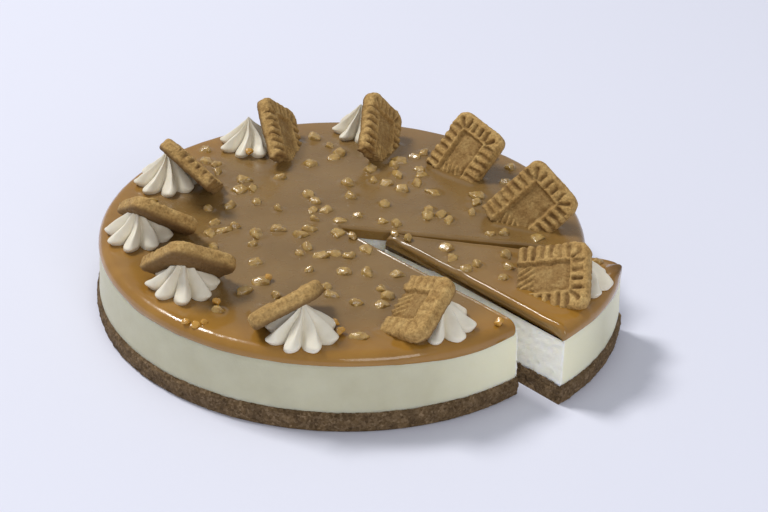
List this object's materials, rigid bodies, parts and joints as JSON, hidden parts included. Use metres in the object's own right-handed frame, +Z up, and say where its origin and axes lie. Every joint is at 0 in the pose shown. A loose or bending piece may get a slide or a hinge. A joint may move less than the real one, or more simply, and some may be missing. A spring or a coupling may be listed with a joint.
{
  "type": "baked cheesecake",
  "caption": "Round cheesecake with crumb base, white filling and caramel top, ringed with cream rosettes and half biscuits, one wedge drawn out.",
  "frame": {"origin": "centre of the overall footprint, on the surface that the cake stands on", "axes": "+Z up; +X to the right and -Y towards the viewer in the usual view, with the drawn-out wedge at +X and -Y"},
  "size_m": [0.2462, 0.233, 0.0678],
  "materials": {
    "crumb": "rough dark brown biscuit crumb",
    "filling": "smooth off-white, slightly translucent",
    "caramel": "glossy milky brown",
    "cream": "soft satin cream white",
    "biscuit": "dry, fine-grained golden brown",
    "toffee": "glossy amber, translucent"
  },
  "bodies": {
    "root": {"crumb_base": "crumb", "filling": "filling", "caramel": "caramel", "slice_crumb_base": "crumb", "slice_filling": "filling", "slice_caramel": "caramel", "rosette_01": "cream", "rosette_02": "cream", "rosette_03": "cream", "rosette_04": "cream", "rosette_05": "cream", "rosette_06": "cream", "rosette_07": "cream", "rosette_08": "cream", "rosette_09": "cream", "rosette_10": "cream", "biscuit_01": "biscuit", "biscuit_02": "biscuit", "biscuit_03": "biscuit", "biscuit_04": "biscuit", "biscuit_05": "biscuit", "biscuit_06": "biscuit", "biscuit_07": "biscuit", "biscuit_08": "biscuit", "biscuit_09": "biscuit", "biscuit_10": "biscuit"}
  },
  "joints": []
}
